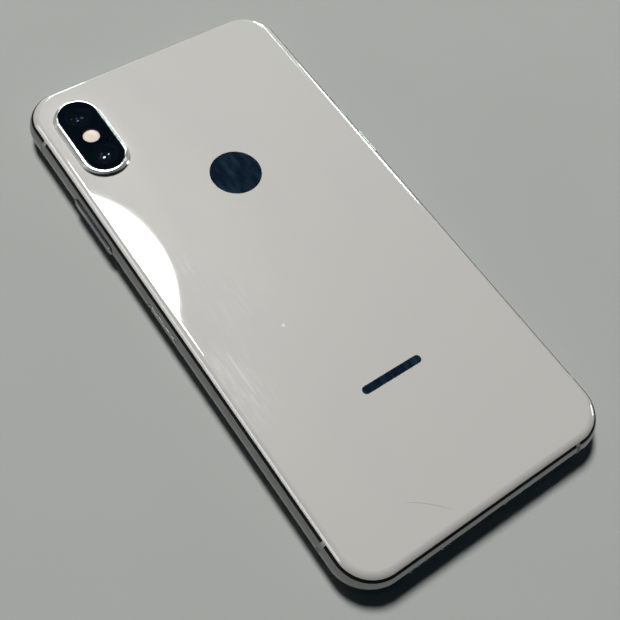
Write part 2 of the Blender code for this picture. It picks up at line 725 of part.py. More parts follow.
# ---------------------------------------------------------------- buttons and switch
def build_button(name, y, length, side):
    """A button cap in its slot, with the flange that keeps it from falling out."""
    origin = (side * HALF_WIDTH, y, MID_Z)
    seat = BUTTON_DEPTH - BUTTON_FLANGE
    low, high = sorted((side * BUTTON_PROUD, -side * (seat + 0.1)))
    cap = plate(name, [slot(length, BUTTON_HEIGHT)], low, high, STEEL, origin, "X")
    low, high = sorted((-side * seat, -side * BUTTON_DEPTH))
    rim = slot(length + BUTTON_FLANGE_LENGTH, BUTTON_HEIGHT + BUTTON_FLANGE_HEIGHT)
    join(cap, plate(name + "_flange", [rim], low, high, None, origin, "X"))
    soften(cap, 0.12)


def dome(name, y, side):
    """Tactile dome that a button's flange comes down on."""
    top = HALF_WIDTH - BUTTON_DEPTH - BUTTON_TRAVEL - BOND_GAP
    low, high = sorted((side * top, side * (top - 0.4)))
    return rod(name, 1.2, low, high, origin=(0, y, MID_Z), axis="X")


def build_buttons():
    build_button("side_button", SIDE_BUTTON_Y, SIDE_BUTTON_LENGTH, -1)
    build_button("volume_up_button", VOLUME_UP_Y, VOLUME_LENGTH, 1)
    build_button("volume_down_button", VOLUME_DOWN_Y, VOLUME_LENGTH, 1)
    strip = box_outline((SIDE_BUTTON_Y - 9.5, 2.2), (SIDE_BUTTON_Y + 9.5, 5.5))
    side_flex = plate("side_button_flex", [strip], -31.9, -31.6, BLACK_PLASTIC, axis="X")
    join(side_flex, dome("side_dome", SIDE_BUTTON_Y, -1))
    strip = box_outline((14.0, 2.2), (51.0, 5.5))
    volume_flex = plate("volume_flex", [strip], 31.6, 31.9, BLACK_PLASTIC, axis="X")
    join(
        volume_flex,
        dome("volume_up_dome", VOLUME_UP_Y, 1),
        dome("volume_down_dome", VOLUME_DOWN_Y, 1),
    )


def build_ring_switch():
    """Ring switch: a cap in the pocket and a stem through the wall, in the ring position."""
    rest_z = MID_Z - RING_SWITCH_TRAVEL / 2
    origin = (HALF_WIDTH, RING_SWITCH_Y, rest_z)
    cap = plate(
        "ring_switch",
        [slot(RING_SWITCH_LENGTH, RING_SWITCH_HEIGHT)],
        RUN_GAP - RING_POCKET_DEPTH,
        0.2,
        STEEL,
        origin,
        "X",
    )
    stem = rounded(RING_STEM_LENGTH, RING_STEM_HEIGHT, 0.2, steps=2)
    join(cap, plate("ring_switch_stem", [stem], -RING_STEM_DEPTH, -0.8, None, origin, "X"))


# ---------------------------------------------------------------- sound, haptics and charging
def build_bottom_modules():
    """Loudspeaker, vibration motor and charging socket along the bottom end."""
    bottom, top = INNER_Z
    low, high = (-31, -66.5, bottom), (-5.2, -47.2, top)
    speaker = block("loudspeaker", low, high, BLACK_PLASTIC, 1.2)
    join(speaker, block("speaker_duct", (-23.2, -69.2, 2.8), (-10.0, -66.0, 4.9)))
    case = block("haptic_case", (5.5, -60.8, bottom), (31.0, -47.2, top), SATIN_STEEL, 0.8)
    cut(case, block("haptic_case_inside", (6.1, -60.2, 1.0), (30.4, -47.8, 5.4)))
    mass = [box_outline((-9.5, -5.9), (9.5, 5.9), 0.8)]
    plate("haptic_mass", mass, -1.4, 1.4, TUNGSTEN, (18.25, -54.0, 3.9))
    shell = box_outline((MID_Z - 1.6, -4.6), (MID_Z + 1.6, 4.6), 0.8)
    port = plate("charging_port", [shell], -69.3, -61.5, SATIN_STEEL, axis="Y")
    socket = slot(1.9, 7.0, (MID_Z, 0))
    cut(port, plate("port_socket", [socket], -75, -62.5, axis="Y"))


def main():
    build_display()
    build_front_sensors()
    build_band()
    build_bottom_screws()
    build_back()
    build_rear_cameras()
    build_boards()
    build_battery()
    build_sim_tray()
    build_sim_reader()
    build_buttons()
    build_ring_switch()
    build_bottom_modules()


main()
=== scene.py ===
"""Looks for the smartphone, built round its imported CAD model.

The outer shells, buttons, lenses and fittings are rebuilt finely in the CAD's own places, and
every piece gets a procedural material. Sizes are millimetres in the CAD's frame: +Z points out
of the glass back, +Y to the top end and -X to the side with the side button.
"""

import json
from math import asin, cos, pi, radians, sin, sqrt

import bmesh
import bpy
from mathutils import Matrix, Vector


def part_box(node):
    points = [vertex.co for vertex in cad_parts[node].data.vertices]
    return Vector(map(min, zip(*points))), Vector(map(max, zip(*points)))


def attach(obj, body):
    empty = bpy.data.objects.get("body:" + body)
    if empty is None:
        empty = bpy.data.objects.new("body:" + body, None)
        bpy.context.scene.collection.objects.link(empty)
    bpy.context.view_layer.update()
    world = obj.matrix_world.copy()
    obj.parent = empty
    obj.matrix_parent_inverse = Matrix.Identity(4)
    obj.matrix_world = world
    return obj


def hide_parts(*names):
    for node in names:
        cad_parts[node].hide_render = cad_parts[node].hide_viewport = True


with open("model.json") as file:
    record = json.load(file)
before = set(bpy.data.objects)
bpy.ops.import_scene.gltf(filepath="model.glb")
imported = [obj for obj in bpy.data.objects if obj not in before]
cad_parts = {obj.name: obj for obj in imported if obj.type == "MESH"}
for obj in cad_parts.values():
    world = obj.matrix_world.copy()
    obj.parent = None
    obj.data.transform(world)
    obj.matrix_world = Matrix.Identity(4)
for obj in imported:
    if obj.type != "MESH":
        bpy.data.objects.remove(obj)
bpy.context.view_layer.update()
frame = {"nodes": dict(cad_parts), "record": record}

MM = 0.001


# A node's lowest corner, highest corner and middle, in millimetres
def low(node):
    return [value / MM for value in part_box(node)[0]]


def high(node):
    return [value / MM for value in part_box(node)[1]]


def middle(node):
    return [(a + b) / 2 for a, b in zip(low(node), high(node))]


# ---------------------------------------------------------------- sizes
HALF_WIDTH = -low("band_left_rail")[0]
HALF_LENGTH = high("band_top")[1]
THICKNESS = high("back_glass")[2]
MID_Z = THICKNESS / 2
CORNER_RADIUS = 9.6
EDGE_RUN = 3.0
CORNER_STEPS = 28
FLOOR_REACH = 3200

BAND_LOW, BAND_HIGH = low("band_left_rail")[2], high("band_left_rail")[2]
BAND_DEPTH = 2.4
BAND_STEPS = 36
GASKET_LOW = BAND_HIGH - 0.25  # the steel stops here, below the black gasket of the back glass. The gasket is far taller than the real seal, so its black also stands as a painted dark reflection along the top of the steel
GLASS_LOW = low("back_glass")[2] + 0.3  # where the gasket ends and the back glass starts
GASKET_RISE = 0.004  # how far the gaskets stand out of the shells
SLOT_FLAT = 0.001  # keeps the two round ends of a slot apart where its sides have no length
PAST = 1.0  # how far a cutter reaches past what it cuts

SIDE_BREAK_Y = (low("antenna_break_left_top")[1], high("antenna_break_left_top")[1])
TOP_BREAK_X = (low("antenna_break_top_edge")[0], high("antenna_break_top_edge")[0])
BOTTOM_BREAK_X = (low("antenna_break_bottom_edge")[0], high("antenna_break_bottom_edge")[0])

CAMERA_X, CAMERA_Y = middle("camera_ring")[:2]
CAMERA_WIDTH = high("camera_ring")[0] - low("camera_ring")[0]
CAMERA_LENS_PITCH = middle("wide_lens")[1] - middle("tele_lens")[1]
CAMERA_TOP = high("camera_ring")[2]
WINDOW_WIDTH = high("camera_window")[0] - low("camera_window")[0]
WINDOW_LOW, WINDOW_HIGH = low("camera_window")[2], high("camera_window")[2]
LENS_OPENING = 3.3
BARREL_RADIUS, BARREL_NECK = 3.4, 2.9
FLASH_RADIUS, FLASH_DEPTH, FLASH_SAG = 2.0, 0.4, 0.25
MIC_X, MIC_Y = middle("rear_microphone")[:2]
MIC_RADIUS = 0.4

FLANGE_END, FLANGE_SIDE = 0.5, 0.3  # how far a button's flange reaches past its face
FACE_GAP = 0.1
BUTTONS = {"side_button": -1, "volume_up_button": 1, "volume_down_button": 1}
SIM_LENGTH = high("sim_tray")[1] - low("sim_tray")[1]
SIM_HEIGHT = 2.6
SIM_Y = middle("sim_tray")[1]
SIM_PIN_Y = middle("sim_eject_rod")[1]
SIM_FRAME_Y, SIM_FRAME_Z = (-3.7, 6.1), (3.35, 4.35)
SWITCH_Y = middle("ring_switch")[1]
SWITCH_LENGTH, SWITCH_HEIGHT, SWITCH_ROUNDING, SWITCH_CAP = 5.6, 2.2, 0.18, 1.2
STEM_LENGTH, STEM_HEIGHT = 3.4, 1.6
STEM_SLOT_LENGTH, STEM_SLOT_HEIGHT = 3.8, 3.4
# the hollow that the ring switch slides in
POCKET_LENGTH, POCKET_HEIGHT, POCKET_CORNER, POCKET_DEPTH = 6.0, 4.0, 1.25, 1.1

PORT_WIDTH, PORT_HEIGHT = 7.6, 2.2
SOCKET_WIDTH, SOCKET_HEIGHT = 7.0, 1.9
SHELL_WIDTH, SHELL_HEIGHT, SHELL_CORNER = 9.2, 3.2, 0.8
CONTACTS, CONTACT_PITCH = 8, 0.74
SCREW_X = middle("bottom_screw_right")[0]
SCREW_MOUTH, SCREW_HEAD, SCREW_NECK, DRIVE_RADIUS = 0.85, 0.75, 0.5, 0.36
SOUND_HOLE_X, SOUND_HOLE_PITCH, SOUND_HOLE_RADIUS = 11.2, 2.1, 0.55
SPEAKER_HOLES, MICROPHONE_HOLES = 6, 3
EAR_WIDTH, EAR_HEIGHT = 10.6, 1.1
EAR_Y = middle("earpiece_mesh")[1]

BADGE_Y, BADGE_RADIUS = 27.1, 6.3
BAR_X, BAR_Y, BAR_LENGTH, BAR_HEIGHT = -0.4, -36.0, 16.0, 2.0


# ---------------------------------------------------------------- outlines
def arc(centre, radius, start, end, steps):
    turns = [radians(start + (end - start) * i / steps) for i in range(steps + 1)]
    return [(centre[0] + radius * cos(t), centre[1] + radius * sin(t)) for t in turns]


def rounded(width, length, radius, centre=(0, 0), steps=CORNER_STEPS):
    points = []
    for sx, sy, start in ((1, 1, 0), (-1, 1, 90), (-1, -1, 180), (1, -1, 270)):
        corner = (
            centre[0] + sx * (width / 2 - radius),
            centre[1] + sy * (length / 2 - radius),
        )
        points += arc(corner, radius, start, start + 90, steps)
    return points


def slot(width, length, centre=(0, 0), steps=14):
    return rounded(width, length, min(width, length) / 2 - SLOT_FLAT, centre, steps)


def circle(radius, centre=(0, 0), steps=64):
    return arc(centre, radius, 0, 360, steps)[:-1]


def body_outline(inset):
    return rounded(2 * (HALF_WIDTH - inset), 2 * (HALF_LENGTH - inset), CORNER_RADIUS - inset)


def camera_slot(width):
    return slot(width, width + CAMERA_LENS_PITCH, (CAMERA_X, CAMERA_Y), 24)


def edge_inset(z):
    """How far the rounded edge lies inside the widest section at a height."""
    rise = (z - MID_Z) / MID_Z
    return EDGE_RUN * (1 - sqrt(max(0.0, 1 - rise * rise)))


def edge_levels(bottom, top, steps):
    """Heights spaced evenly in angle round the rounded edge."""
    first, last = (asin(max(-1, min(1, (z - MID_Z) / MID_Z))) for z in (bottom, top))
    return [MID_Z + MID_Z * sin(first + (last - first) * i / steps) for i in range(steps + 1)]


# ---------------------------------------------------------------- solids
PLACE = {
    "X": lambda u, v, h: (h, u, v),
    "Y": lambda u, v, h: (v, h, u),
    "Z": lambda u, v, h: (u, v, h),
}


def add_mesh(name, solid):
    bmesh.ops.recalc_face_normals(solid, faces=solid.faces)
    bmesh.ops.scale(solid, verts=solid.verts, vec=(MM, MM, MM))
    mesh = bpy.data.meshes.new(name)
    solid.to_mesh(mesh)
    solid.free()
    obj = bpy.data.objects.new(name, mesh)
    bpy.context.scene.collection.objects.link(obj)
    return obj


def loft(name, sections, axis="Z", closed=False):
    """Skins (outline, height) sections along an axis. A closed one is a ring with no caps."""
    solid = bmesh.new()
    place = PLACE[axis]
    rows = [[solid.verts.new(place(u, v, h)) for u, v in outline] for outline, h in sections]
    pairs = list(zip(rows, rows[1:]))
    if closed:
        pairs.append((rows[-1], rows[0]))
    else:
        solid.faces.new(list(reversed(rows[0])))
        solid.faces.new(rows[-1])
    for lower, upper in pairs:
        for i in range(len(lower)):
            j = (i + 1) % len(lower)
            solid.faces.new((lower[i], lower[j], upper[j], upper[i]))
    return add_mesh(name, solid)


def prism(name, outline, bottom, top, axis="Z"):
    return loft(name, [(outline, bottom), (outline, top)], axis)


def box(name, x_range, y_range, bottom, top):
    """A plain box between ranges."""
    (x0, x1), (y0, y1) = x_range, y_range
    return prism(name, [(x0, y0), (x1, y0), (x1, y1), (x0, y1)], bottom, top)


def turned(name, profile, centre=(0, 0), axis="Z", steps=64, closed=False):
    """Turns (radius, height) points round an axis. Radius 0 isn't used: the ends get caps."""
    sections = [(circle(radius, centre, steps), h) for radius, h in profile]
    return loft(name, sections, axis, closed)


def carve(obj, *cutters, operation="DIFFERENCE"):
    """Booleans the helpers into the object, applies the result and removes the helpers."""
    for cutter in cutters:
        boolean = obj.modifiers.new(cutter.name, "BOOLEAN")
        boolean.operation = operation
        boolean.object = cutter
        boolean.solver = "EXACT"
    graph = bpy.context.evaluated_depsgraph_get()
    mesh = bpy.data.meshes.new_from_object(obj.evaluated_get(graph))
    obj.modifiers.clear()
    obj.data = mesh
    for cutter in cutters:
        bpy.data.objects.remove(cutter)


def keep_side(obj, point, direction):
    """Cuts a solid by a plane and keeps the side that the direction points to."""
    solid = bmesh.new()
    solid.from_mesh(obj.data)
    parts = solid.verts[:] + solid.edges[:] + solid.faces[:]
    cut = bmesh.ops.bisect_plane(
        solid, geom=parts, plane_co=Vector(point) * MM, plane_no=direction, clear_inner=True
    )
    edges = [e for e in cut["geom_cut"] if isinstance(e, bmesh.types.BMEdge)]
    bmesh.ops.holes_fill(solid, edges=edges)
    bmesh.ops.recalc_face_normals(solid, faces=solid.faces)
    solid.to_mesh(obj.data)
    solid.free()


def finish_piece(obj, material, body, slot_name, *nodes, sharp=32):
    """Shades a piece, gives it its material and body, and hides the CAD nodes it stands for."""
    obj.data.shade_smooth()
    obj.data.set_sharp_from_angle(angle=radians(sharp))
    normals = obj.modifiers.new("normals", "WEIGHTED_NORMAL")
    normals.keep_sharp = True
    obj.data.materials.clear()
    obj.data.materials.append(material)
    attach(obj, body)
    if nodes:
        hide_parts(*nodes)


# ---------------------------------------------------------------- materials
def add_node(tree, kind, inputs=None, **settings):
    """A shader node with its settings, whose inputs are values or sockets to link from."""
    made = tree.nodes.new(kind)
    for key, value in settings.items():
        setattr(made, key, value)
    for key, value in (inputs or {}).items():
        if isinstance(value, bpy.types.NodeSocket):
            tree.links.new(value, made.inputs[key])
        else:
            made.inputs[key].default_value = value
    return made


def map_range(tree, factor, low_in, high_in, low_out=0.0, high_out=1.0):
    """Maps a factor from one range to another, and stops at the ends."""
    return add_node(
        tree,
        "ShaderNodeMapRange",
        {
            "Value": factor,
            "From Min": low_in,
            "From Max": high_in,
            "To Min": low_out,
            "To Max": high_out,
        },
    ).outputs["Result"]


class Finish:
    """A procedural material. Textures are laid out in millimetres of the object's own space."""

    def __init__(self, name, colour, roughness, metallic=0.0, sockets=None):
        self.material = bpy.data.materials.new(name)
        self.material.use_nodes = True
        self.tree = self.material.node_tree
        self.shader = self.tree.nodes["Principled BSDF"]
        self.colour = (*colour, 1.0)
        values = {"Base Color": self.colour, "Roughness": roughness, "Metallic": metallic}
        for key, value in {**values, **(sockets or {})}.items():
            self.shader.inputs[key].default_value = value
        self.coordinates = self.node("ShaderNodeTexCoord").outputs["Object"]

    def node(self, kind, inputs=None, **settings):
        return add_node(self.tree, kind, inputs, **settings)

    def space(self, stretch=(1, 1, 1), origin=(0, 0, 0)):
        """Object coordinates in millimetres from an origin, also in millimetres, stretched."""
        start = [c * MM for c in origin]
        moved = self.node(
            "ShaderNodeVectorMath", {0: self.coordinates, 1: start}, operation="SUBTRACT"
        )
        scale = [s / MM for s in stretch]
        return self.node(
            "ShaderNodeMapping", {"Vector": moved.outputs["Vector"], "Scale": scale}
        ).outputs["Vector"]

    def noise(self, scale, detail=3.0, stretch=(1, 1, 1)):
        inputs = {"Vector": self.space(stretch), "Scale": scale, "Detail": detail}
        return self.node("ShaderNodeTexNoise", inputs).outputs["Fac"]

    def fit(self, factor, *limits):
        """Maps a factor by (low_in, high_in), and by (low_out, high_out) if they aren't 0 and 1."""
        return map_range(self.tree, factor, *limits)

    def maths(self, operation, *values):
        inputs = dict(enumerate(values))
        return self.node("ShaderNodeMath", inputs, operation=operation).outputs["Value"]

    def along(self, axis):
        """The point's own X, Y or Z in millimetres."""
        return self.node("ShaderNodeSeparateXYZ", {"Vector": self.space()}).outputs[axis]

    def distance(self, x, y):
        """Distance in millimetres from an upright axis."""
        place = self.space((1, 1, 0), (x, y, 0))
        return self.node("ShaderNodeVectorMath", {0: place}, operation="LENGTH").outputs["Value"]

    def tint(self, factor, colour):
        """Mixes another colour over the base colour by a factor."""
        base = self.shader.inputs["Base Color"]
        under = base.links[0].from_socket if base.is_linked else self.colour
        mixed = self.node(
            "ShaderNodeMix", {"Factor": factor, "A": under, "B": (*colour, 1.0)}, data_type="RGBA"
        )
        self.tree.links.new(mixed.outputs["Result"], base)
        return self

    def rough(self, factor, smoothest, roughest):
        """Lets the roughness follow the middle part of a noise."""
        spread = self.fit(factor, 0.3, 0.7, smoothest, roughest)
        self.tree.links.new(spread, self.shader.inputs["Roughness"])
        return self

    def bump(self, factor, depth, strength=1.0):
        """Raises the surface by a depth in millimetres."""
        made = self.node(
            "ShaderNodeBump", {"Strength": strength, "Distance": depth * MM, "Height": factor}
        )
        before = self.shader.inputs["Normal"]
        if before.is_linked:
            self.tree.links.new(before.links[0].from_socket, made.inputs["Normal"])
        self.tree.links.new(made.outputs["Normal"], before)
        return self


def polished_steel(name, colour):
    """Mirror-bright steel with faint grime and fine rub marks."""
    finish = Finish(name, colour, 0.1, 1.0)
    grime = finish.noise(0.35, detail=4)
    wear = finish.noise(6.0, detail=5, stretch=(1, 1, 3))
    finish.tint(finish.fit(grime, 0.45, 0.8), [c * 0.86 for c in colour])
    finish.rough(wear, 0.07, 0.17)
    return finish.bump(finish.noise(0.6, detail=5), 0.0004, 0.5).material


def satin_steel():
    """Brushed steel of the fittings."""
    finish = Finish("satin_steel", (0.46, 0.46, 0.47), 0.35, 1.0)
    brush = finish.noise(3.0, detail=4, stretch=(0.15, 4, 4))
    finish.tint(finish.fit(brush, 0.35, 0.75), (0.36, 0.36, 0.38))
    finish.rough(brush, 0.26, 0.44)
    return finish.bump(brush, 0.006, 0.6).material


def glass_coat(roughness, ior=1.5, level=0.0):
    """The clear layer over a colour, and how much the colour's own surface shines."""
    coat = {"Coat Weight": 1.0, "Coat Roughness": roughness, "Coat IOR": ior}
    return {**coat, "Specular IOR Level": level}


def back_glass():
    """Clear glass over a warm silver layer, with faint smears and signs of use, some smears painted
    lighter as sheen.
    """
    coat = glass_coat(0.03, 1.52, 0.15)
    finish = Finish("back_glass", (0.555, 0.546, 0.522), 0.42, 0.0, coat)
    smear = finish.noise(0.09, detail=5, stretch=(1.0, 0.35, 1))
    finish.tint(finish.fit(smear, 0.45, 0.8, 0.0, 0.5), (0.54, 0.525, 0.512))
    pearl = finish.noise(14.0, detail=2)
    finish.tint(finish.fit(pearl, 0.4, 0.9, 0.0, 0.18), (0.59, 0.575, 0.56))
    wear_glass(finish)
    finish.rough(smear, 0.36, 0.48)
    return finish.bump(finish.noise(0.05, detail=1), 0.02, 0.25).material


def wear_glass(finish):
    """A curved hair scratch, light rubbed smears, a straight scratch and a chip. The smears are
    real, but their lightness is partly a painted sheen of the lamp.
    """
    scratch_grey, rub_grey, chip_grey = (0.3, 0.29, 0.28), (0.72, 0.72, 0.74), (0.78, 0.78, 0.78)
    bend_centre, bend_radius, hair_middle = (-27.6, -81.0), 23.8, (-12.0, -63.5)
    beside = finish.maths("SUBTRACT", finish.distance(*bend_centre), bend_radius)
    line = finish.fit(finish.maths("ABSOLUTE", beside), 0.04, 0.12, 1.0, 0.0)
    near = finish.fit(finish.distance(*hair_middle), 3.0, 5.5, 0.6, 0.0)
    finish.tint(finish.maths("MULTIPLY", line, near), scratch_grey)
    # Light smears near the lamp's image: real smears, painted lighter as the lamp's sheen on them.
    smear_sheen = finish.fit(finish.noise(1.3, detail=4, stretch=(1, 0.14, 1)), 0.42, 0.72)
    for x, y, inner, outer, share in (
        (-30.7, -15.7, 1.0, 7.0, 0.7),
        (-30.1, -24.6, 1.0, 8.0, 0.5),
        (-24.5, 10.7, 0.5, 4.0, 0.5),
        (-21.5, -3.7, 2.0, 16.0, 0.16),
    ):
        near = finish.fit(finish.distance(x, y), inner, outer, share, 0.0)
        finish.tint(finish.maths("MULTIPLY", smear_sheen, near), rub_grey)
    straight_x, straight_y = -28.1, -18.6
    beside = finish.maths("SUBTRACT", finish.along("X"), straight_x)
    line = finish.fit(finish.maths("ABSOLUTE", beside), 0.08, 0.28, 1.0, 0.0)
    near = finish.fit(finish.distance(straight_x, straight_y), 4.5, 6.5, 0.6, 0.0)
    finish.tint(finish.maths("MULTIPLY", line, near), rub_grey)
    chip = finish.distance(-13.8, -13.5)
    finish.tint(finish.fit(chip, 0.25, 0.5, 1.0, 0.0), chip_grey)


def black_glass(name="black_glass", colour=(0.006, 0.007, 0.011)):
    """Clear glass over black, with faint smears."""
    finish = Finish(name, colour, 0.25, 0.0, glass_coat(0.01))
    smear = finish.noise(0.2, detail=4)
    finish.tint(finish.fit(smear, 0.45, 0.8, 0.0, 0.5), [c * 1.8 for c in colour])
    return finish.rough(smear, 0.18, 0.32).material


def mirror_inlay():
    """Dark mirror film of the disc and bar on the back, with lighter bluish streaks painted in as
    reflections.
    """
    finish = Finish("mirror_inlay", (0.0035, 0.009, 0.018), 0.12, 0.0, glass_coat(0.02))
    reflection_streak = finish.noise(0.7, detail=4, stretch=(1, 0.3, 1))
    # Painted reflection: lighter bluish streaks across the mirror film.
    finish.tint(finish.fit(reflection_streak, 0.4, 0.7), (0.012, 0.028, 0.05))
    return finish.rough(reflection_streak, 0.08, 0.2).material


def clear_glass():
    """The clear windows over the lenses."""
    finish = Finish("clear_glass", (0.97, 0.98, 1.0), 0.0, 0.0, {"Transmission Weight": 1.0})
    return finish.rough(finish.noise(0.6), 0.0, 0.012).material


def lens_glass(name, tint, level):
    """Front element whose coating gives its reflections a colour, and whose colour turns violet
    towards grazing angles, a painted reflection of the coating.
    """
    coating = {"Specular Tint": (*tint, 1.0), "Specular IOR Level": level}
    finish = Finish(name, (0.001, 0.0015, 0.004), 0.06, 0.0, coating)
    grazing_glint = finish.node("ShaderNodeLayerWeight", {"Blend": 0.55}).outputs["Facing"]
    # Painted reflection: the colour turns violet towards grazing angles, like the coating's glint.
    finish.tint(finish.fit(grazing_glint, 0.5, 0.95, 0.0, 0.8), (0.012, 0.006, 0.03))
    return finish.rough(finish.noise(1.5), 0.04, 0.1).material


def lens_barrel():
    """Black anodised baffles with fine turned grooves."""
    finish = Finish("lens_barrel", (0.0006, 0.0013, 0.0026), 0.5, 0.0, {"Specular IOR Level": 0})
    grooves = finish.maths("SINE", finish.maths("MULTIPLY", finish.along("Z"), 40.0))
    finish.rough(finish.noise(3.0), 0.4, 0.6)
    return finish.bump(grooves, 0.02, 0.5).material


def plastic(name, colour, roughness):
    """Mottled matt plastic with a fine grain."""
    finish = Finish(name, colour, roughness)
    mottle = finish.noise(1.2, detail=4)
    finish.tint(finish.fit(mottle, 0.4, 0.8, 0.0, 0.6), [c * 0.82 for c in colour])
    finish.rough(mottle, roughness - 0.08, roughness + 0.08)
    return finish.bump(finish.noise(18.0, detail=3), 0.006, 0.5).material


def seal_rubber():
    """Black rubber of the gaskets."""
    finish = Finish("seal_rubber", (0.004, 0.004, 0.004), 0.7, 0.0, {"Specular IOR Level": 0.1})
    finish.rough(finish.noise(2.0), 0.6, 0.8)
    return finish.bump(finish.noise(9.0), 0.01, 0.4).material


def circuit_board():
    """Dark solder mask with fine traces and gold pads."""
    finish = Finish("circuit_board", (0.012, 0.02, 0.03), 0.4)
    cells = finish.node(
        "ShaderNodeTexVoronoi", {"Vector": finish.space(), "Scale": 0.9}, distance="CHEBYCHEV"
    )
    finish.tint(finish.fit(cells.outputs["Distance"], 0.12, 0.16, 1.0, 0.0), (0.55, 0.4, 0.16))
    traces = finish.node(
        "ShaderNodeTexBrick",
        {"Vector": finish.space(), "Scale": 0.8, "Mortar Size": 0.04, "Brick Width": 1.4},
    )
    finish.tint(traces.outputs["Fac"], (0.03, 0.05, 0.06))
    finish.rough(finish.noise(4.0), 0.3, 0.5)
    return finish.bump(traces.outputs["Fac"], 0.02, 0.5).material


def copper():
    """Copper with the fine grooves of its windings."""
    finish = Finish("copper", (0.72, 0.34, 0.17), 0.3, 1.0)
    winding = finish.maths("SINE", finish.maths("MULTIPLY", finish.distance(0, 0), 12.0))
    finish.tint(finish.fit(winding, -1.0, 1.0, 0.0, 0.6), (0.4, 0.16, 0.07))
    finish.rough(finish.noise(3.0), 0.25, 0.4)
    return finish.bump(winding, 0.03, 0.6).material


def battery_wrap():
    """Dark creased film round the battery cells."""
    finish = Finish("battery_wrap", (0.02, 0.02, 0.022), 0.5)
    crease = finish.noise(0.25, detail=6, stretch=(1, 0.4, 1))
    finish.tint(finish.fit(crease, 0.5, 0.8, 0.0, 0.8), (0.04, 0.04, 0.044))
    finish.rough(crease, 0.35, 0.6)
    return finish.bump(crease, 0.15, 0.4).material


def flash_lens():
    """Milky flash lens: warm in the middle, painted darker towards its rim as shade of its recess,
    with fine rings.
    """
    finish = Finish("flash_lens", (0.84, 0.72, 0.65), 0.35, 0.0, {"Specular IOR Level": 0.2})
    out = finish.distance(CAMERA_X, CAMERA_Y)
    finish.tint(finish.fit(out, 0.1, 1.1, 0.5, 0.0), (0.86, 0.64, 0.36))
    # Painted shade: grey-brown towards the rim, where the recess shades the lens.
    finish.tint(finish.fit(out, 1.45, 1.75, 0.0, 0.5), (0.6, 0.55, 0.5))
    rings = finish.maths("SINE", finish.maths("MULTIPLY", out, 24.0))
    finish.rough(finish.noise(2.0), 0.25, 0.35)
    return finish.bump(rings, 0.03, 0.5).material


def tungsten():
    """Grainy grey metal of the haptic motor's mass."""
    finish = Finish("tungsten", (0.28, 0.28, 0.3), 0.42, 1.0)
    grain = finish.noise(7.0, detail=5)
    finish.tint(finish.fit(grain, 0.4, 0.8), (0.18, 0.18, 0.19))
    return finish.rough(grain, 0.35, 0.55).material


def gold_contact():
    """Gold plate with rub marks, for the charging contacts."""
    finish = Finish("gold_contact", (0.85, 0.62, 0.28), 0.2, 1.0)
    rub = finish.noise(3.0, detail=4, stretch=(1, 6, 1))
    finish.tint(finish.fit(rub, 0.45, 0.8), (0.6, 0.42, 0.2))
    return finish.rough(rub, 0.12, 0.3).material


# The band and the camera trim are the same polished steel in two brightnesses: the band's is
# darkened as a painted dark reflection, and the trim's is lightened as painted light against the
# shade beside the camera bump.
SHADED_STEEL = polished_steel("polished_steel", (0.28, 0.285, 0.28))
LIT_TRIM = polished_steel("lit_camera_steel", (0.62, 0.62, 0.61))
SATIN = satin_steel()
BACK = back_glass()
SCREEN = black_glass()
CAMERA_BLACK = black_glass("camera_black", (0.0006, 0.0016, 0.0035))
INLAY = mirror_inlay()
CLEAR = clear_glass()
LENS = lens_glass("lens_glass", (0.3, 0.24, 1.0), 0.12)
TELE_LENS = lens_glass("tele_lens_glass", (0.9, 0.97, 1.0), 0.7)
BARREL = lens_barrel()
ANTENNA = plastic("antenna_plastic", (0.3, 0.3, 0.29), 0.42)
BLACK_PLASTIC = plastic("black_plastic", (0.02, 0.02, 0.021), 0.5)
SEAL = seal_rubber()
BOARD = circuit_board()
COPPER = copper()
BATTERY = battery_wrap()
FLASH = flash_lens()
TUNGSTEN = tungsten()
GOLD = gold_contact()


# ---------------------------------------------------------------- band
def band_solid(name, top=GASKET_LOW):
    """The whole band as one closed ring, up to a level."""
    profile = [(edge_inset(z), z) for z in edge_levels(BAND_LOW, top, BAND_STEPS)]
    profile += [(BAND_DEPTH, top), (BAND_DEPTH, BAND_LOW)]
    return loft(name, [(body_outline(inset), z) for inset, z in profile], closed=True)


def band_piece(name, x_range, y_range, top=GASKET_LOW):
    """The stretch of the band inside a box in plan. None leaves that side open."""
    piece = band_solid(name, top)
    for i, limits in enumerate((x_range, y_range)):
        for value, sign in zip(limits, (1, -1)):
            if value is not None:
                direction = [0, 0, 0]
                direction[i] = sign
                keep_side(piece, [value if k == i else 0 for k in range(3)], direction)
    return piece


def face_outline(length, height, y, grow=0.0):
    """Outline in (y, z) of a button or tray face in a long side."""
    return slot(length + 2 * grow, height + 2 * grow, (y, MID_Z))


def face_mouth(name, length, height, y, side):
    """A cutter for the mouth that such a face sits in, flared to leave a chamfer."""
    depth, flare = 4.0, 0.06
    straight = face_outline(length, height, y, FACE_GAP)
    flared = face_outline(length, height, y, FACE_GAP + flare)
    sections = [
        (straight, side * (HALF_WIDTH - depth)),
        (straight, side * (HALF_WIDTH - 0.2)),
        (flared, side * (HALF_WIDTH - 0.05)),
        (flared, side * (HALF_WIDTH + PAST)),
    ]
    return loft(name, sections, "X")


def button_face(node):
    """Length, height and middle of a button's face, from its CAD node with the flange."""
    length = high(node)[1] - low(node)[1] - 2 * FLANGE_END
    height = high(node)[2] - low(node)[2] - 2 * FLANGE_SIDE
    return length, height, middle(node)[1]


def end_hole(name, x, radius):
    """A round cutter through the bottom end, with a small chamfer at its mouth."""
    mouth, depth, flare = -HALF_LENGTH, 5, 0.14
    profile = [(radius, mouth + depth), (radius, mouth + 0.3)]
    profile += [(radius + flare, mouth + 0.05), (radius + flare, mouth - PAST)]
    return turned(name, profile, (MID_Z, x), "Y", steps=32)


